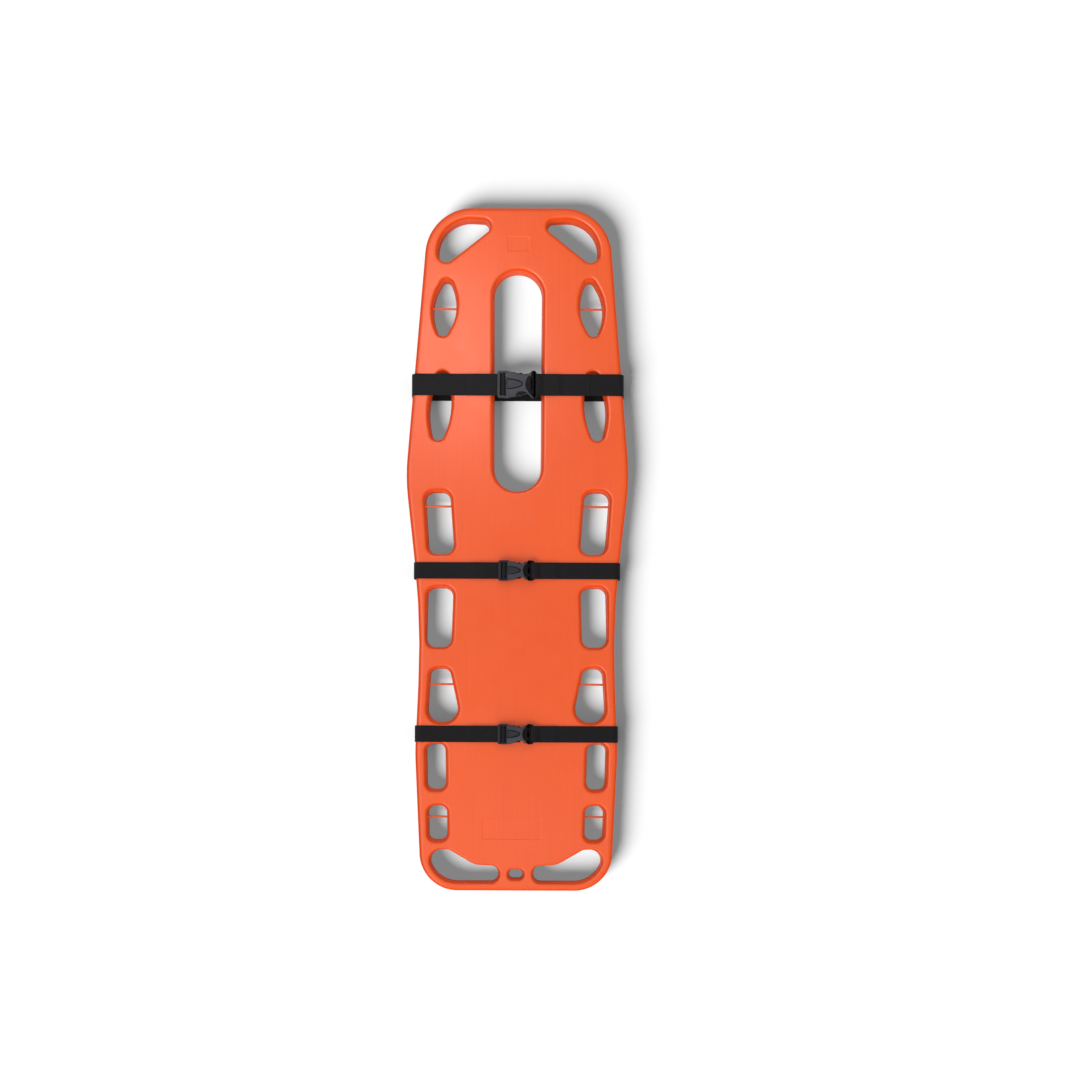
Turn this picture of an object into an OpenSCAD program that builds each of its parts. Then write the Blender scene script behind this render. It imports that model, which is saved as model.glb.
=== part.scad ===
// Spine board with three buckled web straps.
// It lies flat with its patient side up: +Y is the head end, +X its right-hand side, z = 0 the floor.

/* [Board outline] */
// Overall length, head edge to foot edge
board_l = 1578; // [1500:1:1700]
// Width at the head edge, before its corners are rounded
head_w = 414; // [390:1:440]
// Width at the shoulders, before the bend is rounded
shoulder_w = 517; // [490:1:550]
// Width at the waist, before the bend is rounded
waist_w = 442.4; // [420:0.1:460]
// Width at the hips, before the bend is rounded
hip_w = 468; // [450:1:490]
// Width at the foot edge, before its corners are rounded
foot_w = 438; // [420:1:460]
// Head edge to the shoulder bend
shoulder_drop = 623; // [600:1:650]
// Middle of the board to the waist bend, towards the feet
waist_drop = 170; // [150:1:190]
// Foot edge to the hip bend
hip_rise = 319; // [300:1:340]
// How far the rounding of the shoulder bend reaches along the sides
shoulder_reach = 45.7; // [20:0.1:50]
// How far the rounding of the waist bend reaches along the sides
waist_reach = 140; // [100:1:140]
// How far the rounding of the hip bend reaches along the sides
hip_reach = 19.1; // [10:0.1:20]
// Radius of the two head corners
head_r = 110; // [95:1:120]
// Radius of the two foot corners
foot_r = 88; // [80:1:92]

/* [Board section] */
// Thickness of the board without its runners
board_t = 45; // [40:0.5:55]
// Thickness of the moulded skin
skin_t = 4; // [3:0.1:5]
// Thickness of the moulded wall at the edge and round the openings
wall_t = 10; // [9.5:0.1:11]
// Radius of the outer edge on the patient side
edge_r = 11; // [9:0.5:12]
// Radius of the outer edge on the underside
under_edge_r = 8; // [6:0.5:10]
// Radius of the lip round an opening on the patient side
lip_r = 10; // [8:0.5:10.5]
// Radius of the lip round the foot handles and the foot hole
foot_lip_r = 7; // [6:0.5:7.5]
// Bevel round an opening on the underside
under_bevel = 3; // [2:0.5:4]
// How much wider an opening is at its top than at its throat, each side
draft = 3; // [2:0.25:3.5]
// Height of the runners under the board
runner_h = 6; // [5:0.5:10]
// Width of a runner
runner_w = 34; // [24:1:40]
// Middle of the board to the middle of a runner
runner_x = 99; // [92:1:102]
// Head edge to the runners
runner_head_drop = 150; // [130:1:170]
// Foot edge to the runners
runner_foot_rise = 140; // [120:1:160]
// Length of board left free of runners on each side of a strap
runner_clear = 16; // [10:1:24]
// Draft of a runner's sides, from the floor up to the board
runner_draft = 3; // [1:0.5:5]
// Radius of a filling port on the underside
port_r = 12; // [8:1:16]
// Middle of the board to the waist port, towards the feet
port_drop = 150; // [140:1:165]
// Foot edge to the foot port
port_rise = 250; // [235:1:265]

/* [Head slot] */
// Width of the long slot at its head end
slot_head_w = 110; // [100:1:112]
// Width of the long slot at its foot end
slot_foot_w = 107; // [98:1:110]
// Length of the long slot
slot_l = 504; // [470:1:520]
// Head edge to the near end of the long slot
slot_drop = 148; // [140:1:160]

/* [Foot hole] */
// Length of the small hole between the foot handles, across the board
foot_hole_l = 31; // [26:1:32]
// Width of the small hole, along the board
foot_hole_w = 19; // [16:1:20]
// Foot edge to the middle of the small hole
foot_hole_rise = 38; // [36:1:40]

/* [Clip pins] */
// Head edge to the shoulder pins
shoulder_pin_drop = 231; // [225:1:240]
// Middle of the board to the elbow pins, towards the head
elbow_pin_rise = 100; // [90:1:110]
// Foot edge to the thigh pins
thigh_pin_rise = 477; // [465:1:485]
// Foot edge to the shin pins
shin_pin_rise = 170; // [160:1:178]
// Diameter of a clip pin across a hand hold
pin_d = 5; // [4:0.1:6]
// How far each end of a pin is held in the board
pin_embed = 14; // [10:1:16]
// Diameter of the solid boss round each end of a pin
boss_d = 18; // [16:1:20]

/* [Straps] */
// Width of the chest webbing
chest_web_w = 50; // [44:1:54]
// Width of the hip and leg webbing
leg_web_w = 38; // [32:1:40]
// Thickness of the webbing
web_t = 1.8; // [1.4:0.1:2.2]
// Head edge to the middle of the chest strap
chest_drop = 410; // [400:1:415]
// Middle of the board to the middle of the hip strap, towards the feet
hip_strap_drop = 50; // [46:1:54]
// Foot edge to the middle of the leg strap
leg_strap_rise = 362; // [358:1:366]
// Length of the loose tail under the webbing
tail_l = 70; // [40:1:90]
// Length of the sewn tab behind the plug
tab_l = 46; // [30:1:60]

/* [Buckles] */
// Length of the chest buckle when closed
chest_buckle_l = 90; // [84:1:96]
// Width of the chest buckle
chest_buckle_w = 62; // [60:1:66]
// Length of the hip and leg buckles when closed
leg_buckle_l = 82; // [78:1:88]
// Width of the hip and leg buckles
leg_buckle_w = 47; // [46:1:50]
// Thickness of a buckle in the middle of its dome
buckle_t = 13.6; // [13:0.1:15]
// Thickness of a buckle at its long edges
buckle_edge_t = 11; // [10.4:0.1:12]
// Thickness of the release arms and the guide tines
arm_t = 5.6; // [5:0.1:6]
// Travel of an arm's hook to clear its catch
hook_depth = 3.2; // [2.4:0.1:3.6]

/* [Clearances] */
// Gap between pieces that lie on each other
seat_gap = 0.3; // [0.2:0.05:0.4]
// Radial clearance of a pin in its bore
pin_gap = 0.1; // [0.05:0.01:0.15]
// Gap between the arms or tines and the pocket of the receptacle
slide_gap = 0.4; // [0.3:0.05:0.5]

/* [Hidden] */

// Colours
shell_colour = "#f0643c";
foam_colour = "#efe7c8";
pin_colour = "#d94a2a";
web_colour = "#232124";
receptacle_colour = "#55535a";
plug_colour = "#2c2b2e";

// Heights and ends of the board
z_under = runner_h;
z_top = runner_h + board_t;
z_mid = (z_under + z_top) / 2;
head_y = board_l / 2;
foot_y = -board_l / 2;

// Half outline from foot to head before it is rounded, and how far each bend's rounding reaches
side_points = [
    [foot_w / 2, foot_y],
    [hip_w / 2, foot_y + hip_rise],
    [waist_w / 2, -waist_drop],
    [shoulder_w / 2, head_y - shoulder_drop],
    [head_w / 2, head_y]
];
bend_reach = [hip_reach, waist_reach, shoulder_reach];

// Unit vector from a to b
function unit(a, b) = (b - a) / norm(b - a);

// Angle by which a path turns at b on its way from a to c
function turn_at(a, b, c) = acos(min(1, unit(a, b) * unit(b, c)));

// The same with radii: distance from the middle, place along the board, corner radius
side_line = concat(
    [[foot_w / 2, foot_y, foot_r]],
    [for (i = [1:3]) let (turn = max(0.1, turn_at(side_points[i - 1], side_points[i], side_points[i + 1])))
        [side_points[i][0], side_points[i][1], bend_reach[i - 1] / tan(turn / 2)]],
    [[head_w / 2, head_y, head_r]]
);
outline = concat(side_line, [for (i = [len(side_line) - 1:-1:0])
    [-side_line[i][0], side_line[i][1], side_line[i][2]]]);
side_table = [for (p = side_points) [p[1], p[0]]];

// An opening's corners, anticlockwise on the right-hand side:
// distance in from the board's side line, place along the board, corner radius.
head_handle = [for (p = [[163, 32, 13], [35, 141, 17], [25, 25, 74]]) [p[0], head_y - p[1], p[2]]];
shoulder_hold = [for (p = [[94, 231, 110], [56.5, 308, 11], [19, 231, 110], [56.5, 154, 11]])
    [p[0], head_y - p[1], p[2]]];
upper_arm_hold = [for (p = [[101, 458, 190], [66, 563, 13], [31, 458, 190], [66, 362, 10]])
    [p[0], head_y - p[1], p[2]]];
elbow_hold = [[93, -9, 20], [36, -9, 18], [42, 133, 20], [98, 133, 18]];
hip_hold = [[71, -225, 20], [15, -225, 20], [25, -89, 19], [82, -89, 19]];
thigh_hold = [for (p = [[102, 389, 33], [25, 389, 30], [28, 513, 17], [70, 513, 17]]) [p[0], foot_y + p[1], p[2]]];
knee_hold = [for (p = [[67, 234, 16], [25, 234, 16], [26, 338, 15], [68, 338, 15]]) [p[0], foot_y + p[1], p[2]]];
shin_hold = [for (p = [[65, 117, 15], [24, 117, 15], [26, 195, 16], [67, 195, 16]]) [p[0], foot_y + p[1], p[2]]];
foot_handle = [for (p = [[179, 21, 17], [44, 21, 66], [13, 93, 23.5], [66, 93, 25], [126, 57, 50], [181, 55, 17]])
    [p[0], foot_y + p[1], p[2]]];
side_openings = [head_handle, shoulder_hold, upper_arm_hold, elbow_hold, hip_hold, thigh_hold, knee_hold, shin_hold];

// The pinned holds, with the place of their pins
pin_holds = [shoulder_hold, elbow_hold, thigh_hold, shin_hold];
pin_places = [head_y - shoulder_pin_drop, elbow_pin_rise, foot_y + thigh_pin_rise, foot_y + shin_pin_rise];

// Straps: place, webbing width, buckle length, buckle width
straps = [
    [head_y - chest_drop, chest_web_w, chest_buckle_l, chest_buckle_w],
    [-hip_strap_drop, leg_web_w, leg_buckle_l, leg_buckle_w],
    [foot_y + leg_strap_rise, leg_web_w, leg_buckle_l, leg_buckle_w]
];

// One rounded corner of an anticlockwise outline, at index i:
// [centre, radius, start angle, turn, bends outwards]
function corner(pts, i) =
    let (
        n = len(pts),
        p = [pts[i][0], pts[i][1]],
        a = [pts[(i + n - 1) % n][0], pts[(i + n - 1) % n][1]],
        b = [pts[(i + 1) % n][0], pts[(i + 1) % n][1]],
        r = pts[i][2],
        d1 = unit(a, p),
        d2 = unit(p, b),
        out = d1[0] * d2[1] - d1[1] * d2[0] > 0,
        turn = turn_at(a, p, b),
        reach = r * tan(turn / 2),
        t1 = p - d1 * reach,
        t2 = p + d2 * reach,
        side = out ? 1 : -1,
        c = t1 + r * side * [-d1[1], d1[0]],
        from = out ? t1 - c : t2 - c
    )
    [c, r, atan2(from[1], from[0]), turn, out];

function corners(pts) = [for (i = [0:len(pts) - 1]) corner(pts, i)];

// Points of an arc about c from angle a0 to a1, in n chords
function arc(c, r, a0, a1, n) = [for (i = [0:n]) c + r * [cos(a0 + (a1 - a0) * i / n), sin(a0 + (a1 - a0) * i / n)]];

// Number of chords in an arc of radius r: none turns by more than chord or leaves the arc by more than sag
sag = 0.4;
function chords(r, turn, chord) = ceil(turn / min(chord, 2 * acos(1 - sag / max(r, 2 * sag))));

// Points of a rounded outline moved outwards by g, or inwards where g is negative.
// Their number doesn't depend on g, so that outlines at several distances can be joined up.
function offset_points(pts, g, chord = 22.5) = [for (k = corners(pts)) let (
        r = max(k[4] ? k[1] + g : k[1] - g, 0.5),
        n = chords(k[1], k[3], chord),
        a0 = k[4] ? k[2] : k[2] + k[3],
        step = (k[4] ? 1 : -1) * k[3] / n
    ) for (i = [0:n]) k[0] + r * [cos(a0 + i * step), sin(a0 + i * step)]];

// Solid whose sides run through an outline moved by each section point's x at that point's y,
// from the lowest point to the highest
module carried(pts, section, chord = 22.5) {
    rings = [for (q = section) [for (p = offset_points(pts, q[0], chord)) [p[0], p[1], q[1]]]];
    n = len(rings[0]);
    m = len(rings);
    polyhedron(
        points = [for (ring = rings) for (p = ring) p],
        faces = concat(
            [[for (i = [0:n - 1]) i]],
            [for (j = [0:m - 2]) for (i = [0:n - 1]) let (k = (i + 1) % n)
                [j * n + i, (j + 1) * n + i, (j + 1) * n + k, j * n + k]],
            [[for (i = [n - 1:-1:0]) (m - 1) * n + i]]
        )
    );
}

// Greatest turn of one chord round the board's edge
edge_chord = 9;

// Section of the board's edge, rounded below and above
edge_section = concat(
    arc([-under_edge_r, z_under + under_edge_r], under_edge_r, 270, 360, 3),
    arc([-edge_r, z_top - edge_r], edge_r, 0, 90, 5)
);

// Section of an opening: bevel below, drafted wall, lip of radius lip above.
// It runs past both faces of the board.
function opening_section(lip) = let (over = 0.05, stop = 16, high = draft + lip) concat(
        [[under_bevel + 1, z_under - 1], [0, z_under + under_bevel]],
        arc([high, z_top - lip * cos(stop) + over], lip, 180, 90 + stop, 3),
        [[high, z_top + 1]]
    );

// An opening's corners in the board's own frame, on the right-hand side
function place_points(list) = [for (p = list) [lookup(p[1], side_table) - p[0], p[1], p[2]]];

slot_outline = let (a = head_y - slot_drop, b = a - slot_l, wa = slot_head_w / 2, wb = slot_foot_w / 2) [
    [-wb, b, wb - 1], [wb, b, wb - 1], [wa, a, wa - 1], [-wa, a, wa - 1]
];
foot_hole_outline = let (y = foot_y + foot_hole_rise, l = foot_hole_l / 2, w = foot_hole_w / 2) [
    [-l, y - w, w - 0.5], [l, y - w, w - 0.5], [l, y + w, w - 0.5], [-l, y + w, w - 0.5]
];

// Every opening, to be cut through the board
module openings() {
    carried(slot_outline, opening_section(lip_r));
    carried(foot_hole_outline, opening_section(foot_lip_r));
    for (m = [0, 1]) mirror([m, 0, 0]) {
        for (list = side_openings)
            carried(place_points(list), opening_section(lip_r));
        carried(place_points(foot_handle), opening_section(foot_lip_r));
    }
}

// What the skin encloses, with a further gap g left all round
module hollow(g) {
    wall = wall_t + g;
    deep = skin_t + g;
    difference() {
        translate([0, 0, z_under + deep])
            linear_extrude(board_t - 2 * deep)
                difference() {
                    polygon(offset_points(outline, -wall));
                    polygon(offset_points(slot_outline, wall));
                    polygon(offset_points(foot_hole_outline, wall));
                    for (m = [0, 1]) mirror([m, 0])
                        for (list = concat(side_openings, [foot_handle]))
                            polygon(offset_points(place_points(list), wall));
                }
        for (m = [0, 1]) mirror([m, 0, 0])
            for (i = [0:3])
                pin_rod(i, boss_d / 2 + g, 3 + g);
    }
}

// Where a horizontal line at y crosses the sides of an outline
function crossings(pts, y) = [for (i = [0:len(pts) - 1])
    let (a = pts[i], b = pts[(i + 1) % len(pts)])
    if ((a[1] > y) != (b[1] > y)) a[0] + (b[0] - a[0]) * (y - a[1]) / (b[1] - a[1])];

// A rod of radius r along pin number i, longer than the pin by more at each end
module pin_rod(i, r, more) {
    xs = crossings(offset_points(place_points(pin_holds[i]), 0), pin_places[i]);
    from = min(xs) - pin_embed - more;
    translate([from, pin_places[i], z_mid])
        rotate([0, 90, 0])
            cylinder(h = max(xs) + pin_embed + more - from, r = r, $fn = 32);
}

// One drafted runner from y1 to y2, standing on the floor
module runner(y1, y2) {
    r1 = runner_w / 2 - runner_draft;
    r2 = runner_w / 2;
    h = runner_h + 1;
    for (y = [y1 + r2, y2 - r2])
        translate([runner_x, y, 0])
            cylinder(h = h, r1 = r1, r2 = r2, $fn = 48);
    translate([runner_x, y2 - r2, 0])
        rotate([90, 0, 0])
            linear_extrude(y2 - y1 - 2 * r2)
                polygon([[-r1, 0], [r1, 0], [r2, h], [-r2, h]]);
}

// The runners stop where a strap passes under the board
runner_spans = [
    [foot_y + runner_foot_rise, straps[2][0] - leg_web_w / 2 - runner_clear],
    [straps[2][0] + leg_web_w / 2 + runner_clear, straps[1][0] - leg_web_w / 2 - runner_clear],
    [straps[1][0] + leg_web_w / 2 + runner_clear, straps[0][0] - chest_web_w / 2 - runner_clear],
    [straps[0][0] + chest_web_w / 2 + runner_clear, head_y - runner_head_drop]
];
port_places = [-port_drop, foot_y + port_rise];

module board_shell() {
    color(shell_colour)
        difference() {
            union() {
                difference() {
                    carried(outline, edge_section, edge_chord);
                    openings();
                }
                for (m = [0, 1]) mirror([m, 0, 0])
                    for (span = runner_spans)
                        runner(span[0], span[1]);
            }
            hollow(0);
            for (m = [0, 1]) mirror([m, 0, 0])
                for (i = [0:3])
                    pin_rod(i, pin_d / 2 + pin_gap, seat_gap);
            for (y = port_places)
                translate([0, y, z_under - 1])
                    cylinder(h = skin_t + 2, r = port_r, $fn = 64);
        }
}

module foam_core() {
    color(foam_colour)
        hollow(seat_gap);
}

module foam_port_plugs() {
    color(shell_colour)
        for (y = port_places)
            translate([0, y, z_under + 0.5])
                cylinder(h = skin_t - 0.5, r = port_r - pin_gap, $fn = 64);
}

module clip_pin(i, side) {
    color(pin_colour)
        mirror([side < 0 ? 1 : 0, 0, 0])
            pin_rod(i, pin_d / 2, 0);
}

// Half width of the board where it is widest under a strap
function strap_half(s) = seat_gap
    + max([for (i = [0:4]) max(crossings(offset_points(outline, 0, edge_chord), s[0] + s[1] * (i / 4 - 0.5)))]);

// Section of webbing of thickness web_t: path is one side of it, the other side lies to the left
function web_band(path) = let (
        n = len(path),
        dirs = [for (i = [0:n - 2]) unit(path[i], path[i + 1])],
        far = [for (i = [0:n - 1]) let (
                a = dirs[max(i - 1, 0)],
                b = dirs[min(i, n - 2)],
                m = unit([0, 0], a + b)
            ) path[i] + [-m[1], m[0]] * web_t / (m * a)]
    )
    concat(path, [for (i = [n - 1:-1:0]) far[i]]);

// Draws a section in x and z as a strip of the strap's width, centred on the strap
module across(s, width) {
    translate([0, s[0] + width / 2, 0])
        rotate([90, 0, 0])
            linear_extrude(width)
                children();
}

// Heights above the board: the webbing's two layers, the adjuster bars and the arms
z_web = z_top + seat_gap;
z_web2 = z_web + web_t + seat_gap;
z_bar = z_web + web_t + 0.5;
bar_t = 4;
z_outer_bar = z_web2 + web_t + 0.4;
z_rail = z_outer_bar + bar_t + 0.4;
z_arm = z_top + 3.4;

// Places along a buckle, measured from the middle of the board
buckle_x = -2;
outer_bar = 5.5;
mid_bar = 6.4;
bar_slot = 4.6;
plug_bar = 5;
plug_len = 24.2;
mouth_gap = 0.8;
function left_end(s) = buckle_x - s[2] / 2;
function right_end(s) = buckle_x + s[2] / 2;
function mid_bar_x(s) = left_end(s) + outer_bar + bar_slot;
function body_x(s) = mid_bar_x(s) + mid_bar + bar_slot;
function plug_x(s) = right_end(s) - plug_len;
function mouth_x(s) = plug_x(s) - mouth_gap;
function window_x(s) = mouth_x(s) - 0.55 * (mouth_x(s) - body_x(s));

// Places across a buckle, measured from the middle of its strap
side_wall = 3.5;
catch_l = 3.5;
arm_w = 4.2;
rib_half = 1.2;
tine_w = 2.8;
function body_half(s) = s[3] / 2 - 3;
function neck_half(s) = s[3] / 2 - 10.5;
function wall_in(s) = body_half(s) - side_wall;
function arm_out(s) = wall_in(s) - hook_depth - 0.5;
function hinge_y(s) = arm_out(s) - arm_w / 2;
function front_x(s, y) = plug_x(s) + 11 * pow(2 * y / s[3], 2);
function hinge_x(s) = front_x(s, hinge_y(s)) + 4.5;

// Half of a symmetric plan, mirrored to make the whole of it
function mirrored(half) = concat(half, [for (i = [len(half) - 1:-1:0]) [half[i][0], -half[i][1]]]);

// Where the sewn webbing of the plug side meets the rest of its strap
split_x = 168;
split_gap = 0.2;

// Webbing from the loose tail over the middle bar, then round the board to the plug side
module strap_web(s) {
    half = strap_half(s);
    r1 = edge_r + seat_gap;
    r2 = under_edge_r + seat_gap;
    top_c = [half - r1, z_top - edge_r];
    low_c = [half - r2, z_under + under_edge_r];
    bar_l = mid_bar_x(s);
    bar_r = bar_l + mid_bar;
    tail_x = bar_r - tail_l;
    color(web_colour)
        across(s, s[1])
            polygon(web_band(concat(
                [[split_x, z_web]],
                arc(top_c, r1, 90, 0, 6),
                arc(low_c, r2, 0, -90, 6),
                arc([-low_c[0], low_c[1]], r2, -90, -180, 6),
                arc([-top_c[0], top_c[1]], r1, 180, 90, 6),
                [[tail_x - 16, z_web], [tail_x - 3, z_web2], [bar_l - seat_gap, z_web2]],
                arc([bar_l, z_bar + bar_t], seat_gap, 180, 90, 2),
                arc([bar_r, z_bar + bar_t], seat_gap, 90, 0, 2),
                arc([bar_r, z_web + web_t + seat_gap], seat_gap, 0, -90, 2),
                [[tail_x, z_web + web_t]]
            )));
}

// Sewn webbing of the plug side: a tab below, round the plug's bar, and out over the tab
module plug_web(s) {
    bar_l = right_end(s) - plug_bar;
    bar_r = right_end(s);
    tab_x = bar_r + tab_l;
    color(web_colour)
        across(s, s[1])
            polygon(web_band(concat(
                [[tab_x, z_web + web_t]],
                arc([bar_l, z_web + web_t + seat_gap], seat_gap, -90, -180, 2),
                arc([bar_l, z_bar + bar_t], seat_gap, 180, 90, 2),
                [[bar_r, z_bar + bar_t + seat_gap], [bar_r + 16, z_web2], [tab_x + 3, z_web2],
                [tab_x + 16, z_web], [split_x - split_gap, z_web]]
            )));
}

// Plan of the receptacle: a ladder end for the webbing, then a body that narrows to its mouth
module receptacle_plan(s) {
    x0 = left_end(s);
    xw = window_x(s);
    xm = mouth_x(s);
    polygon(mirrored(concat(
        [[x0, s[3] / 2 - 4], [x0 + 1.2, s[3] / 2 - 1.2], [x0 + 4, s[3] / 2]],
        [[body_x(s), s[3] / 2], [xw - 6, body_half(s)], [xw + 1, body_half(s)]],
        [[xw + 8, body_half(s) - 3], [xm + 1, neck_half(s) + 1]],
        [for (i = [5:-1:1]) let (y = i / 5 * neck_half(s)) [xm + 4 * pow(i / 5, 2), y]]
    )));
}

module receptacle(s) {
    x0 = left_end(s);
    xb = body_x(s);
    xw = window_x(s);
    inner = s[1] / 2 + 0.7;
    color(receptacle_colour)
        translate([0, s[0], 0])
            union() {
                difference() {
                    translate([0, 0, z_web])
                        linear_extrude(z_rail - z_web)
                            intersection() {
                                receptacle_plan(s);
                                translate([x0 - 1, -s[3]])
                                    square([xb + 4 - x0, 2 * s[3]]);
                            }
                    translate([x0 - 1, -inner, z_top])
                        cube([xb - x0 + 1, 2 * inner, z_rail]);
                }
                translate([x0, -inner - 1, z_outer_bar])
                    cube([outer_bar, 2 * inner + 2, bar_t]);
                translate([mid_bar_x(s), -inner - 1, z_bar])
                    cube([mid_bar, 2 * inner + 2, bar_t]);
                difference() {
                    receptacle_body(s);
                    pocket(s);
                    thumb_recess(s);
                }
            }
}

// The hollow body, domed across its top
module receptacle_body(s) {
    xb = body_x(s);
    intersection() {
        translate([0, 0, z_web])
            linear_extrude(buckle_t + 1)
                intersection() {
                    receptacle_plan(s);
                    translate([xb, -s[3]])
                        square([s[2], 2 * s[3]]);
                }
        translate([xb - 1, 0, 0])
            rotate([90, 0, 90])
                linear_extrude(s[2])
                    polygon(concat(
                        [[-s[3] / 2 - 1, z_top], [s[3] / 2 + 1, z_top]],
                        [for (i = [8:-1:-8]) let (y = i / 8 * (s[3] / 2 + 1))
                            [y, z_top + buckle_t - (buckle_t - buckle_edge_t) * pow(i / 8, 2)]]
                    ));
    }
}

// Room for the tines and arms, open at the sides beyond the catches and parted by a central rib
module pocket(s) {
    xb = body_x(s);
    xw = window_x(s);
    translate([0, 0, z_arm - slide_gap])
        linear_extrude(arm_t + 2 * slide_gap)
            difference() {
                polygon(mirrored([
                    [xb + 2.5, wall_in(s)], [xw - catch_l, wall_in(s)],
                    [xw - catch_l, wall_in(s) - hook_depth], [xw, wall_in(s) - hook_depth],
                    [xw, s[3]], [s[2], s[3]]
                ]));
                translate([xb, -rib_half])
                    square([mouth_x(s) - 6 - xb, 2 * rib_half]);
            }
}

// Shallow hollow for the thumb on top of the receptacle
module thumb_recess(s) {
    depth = 1.2;
    l = 0.6 * (mouth_x(s) - body_x(s));
    w = body_half(s) - 6;
    translate([body_x(s) + 3, 0, z_top + buckle_t - depth])
        linear_extrude(2 * depth)
            polygon([for (i = [-6:6]) [l * (1 - pow(i / 6, 2)), w * i / 6]]);
}

// Plan of the plug's flange, with a curved front that faces the mouth
module flange_plan(s) {
    xr = right_end(s);
    h = s[3] / 2;
    polygon(mirrored(concat(
        [for (i = [1:6]) let (y = i / 6 * (h - 1)) [front_x(s, y), y]],
        [[plug_x(s) + 12.5, h], [xr - 8, h], [xr - 1, s[1] / 2 + 3.2], [xr, s[1] / 2 + 2.2]]
    )));
}

module plug(s) {
    xr = right_end(s);
    xs = xr - plug_bar - bar_slot;
    inner = s[1] / 2 + 0.7;
    xt = window_x(s) - 12;
    z_flange = z_bar + bar_t + seat_gap + web_t + 1;
    color(plug_colour)
        translate([0, s[0], 0])
            union() {
                difference() {
                    translate([0, 0, z_web])
                        linear_extrude(z_flange - z_web)
                            flange_plan(s);
                    translate([xs, -inner, z_top])
                        cube([plug_bar + bar_slot + 1, 2 * inner, z_flange]);
                    for (side = [-1, 1])
                        socket(s, side);
                }
                translate([xr - plug_bar, -inner - 1, z_bar])
                    cube([plug_bar, 2 * inner + 2, bar_t]);
                for (side = [-1, 1])
                    translate([xt, side > 0 ? rib_half + slide_gap : -rib_half - slide_gap - tine_w, z_arm])
                        cube([front_x(s, 5) + 3 - xt, tine_w, arm_t]);
            }
}

// Socket in the flange where an arm swings on its round root
module socket(s, side) {
    x = hinge_x(s);
    y = hinge_y(s);
    r = arm_w / 2 + 0.4;
    translate([0, 0, z_arm - slide_gap])
        linear_extrude(arm_t + 2 * slide_gap)
            mirror([0, side > 0 ? 0 : 1]) {
                translate([x, y])
                    circle(r = r + seat_gap, $fn = 32);
                translate([x - 12, y - r - 1])
                    square([12, 2 * r + 1.3]);
            }
}

// Release arm: round root, shank with a button for the finger, hook behind the catch
module arm(s, side) {
    x = hinge_x(s);
    y = hinge_y(s);
    out = arm_out(s);
    xw = window_x(s);
    b0 = xw + 2.5;
    b1 = mouth_x(s) - 2;
    tip = xw - catch_l - 0.5;
    reach = wall_in(s) - slide_gap;
    color(plug_colour)
        translate([0, s[0], z_arm])
            linear_extrude(arm_t)
                mirror([0, side > 0 ? 0 : 1])
                    union() {
                        translate([x, y])
                            circle(r = arm_w / 2 + 0.4, $fn = 32);
                        polygon(concat(
                            [[x, out - 0.2]],
                            [for (i = [8:-1:0]) let (t = i / 8)
                                [b0 + (b1 - b0) * t, out + (s[3] / 2 - 4.5 - out) * sin(180 * t)]],
                            [[tip, out], [tip, reach], [tip - 1.5, reach], [tip - 4, out - 1.5]],
                            [[tip - 4, out - arm_w], [x, out - arm_w + 0.2]]
                        ));
                    }
}

// Drawing list: every piece under its own name
board_shell();
foam_core();
foam_port_plugs();
clip_pin(0, -1);  // pin_shoulder_left
clip_pin(0, 1);  // pin_shoulder_right
clip_pin(1, -1);  // pin_elbow_left
clip_pin(1, 1);  // pin_elbow_right
clip_pin(2, -1);  // pin_thigh_left
clip_pin(2, 1);  // pin_thigh_right
clip_pin(3, -1);  // pin_shin_left
clip_pin(3, 1);  // pin_shin_right
strap_web(straps[0]);  // chest_web
plug_web(straps[0]);  // chest_web_plug_side
receptacle(straps[0]);  // chest_receptacle
plug(straps[0]);  // chest_plug
arm(straps[0], 1);  // chest_arm_head
arm(straps[0], -1);  // chest_arm_foot
strap_web(straps[1]);  // hip_web
plug_web(straps[1]);  // hip_web_plug_side
receptacle(straps[1]);  // hip_receptacle
plug(straps[1]);  // hip_plug
arm(straps[1], 1);  // hip_arm_head
arm(straps[1], -1);  // hip_arm_foot
strap_web(straps[2]);  // leg_web
plug_web(straps[2]);  // leg_web_plug_side
receptacle(straps[2]);  // leg_receptacle
plug(straps[2]);  // leg_plug
arm(straps[2], 1);  // leg_arm_head
arm(straps[2], -1);  // leg_arm_foot
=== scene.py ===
# %% [markdown]
# A rescue spine board lies flat with three black straps buckled across it.
# The solids made in CAD are the frame: they fix where every piece is and how large it is.
# This file dresses them: it gives each piece a finer surface and its finish,
# then sets the light and the camera.

# %% Frame and tools
import math
import bmesh
import bpy
import numpy as np
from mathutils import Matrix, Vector
from mathutils.geometry import delaunay_2d_cdt


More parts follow.
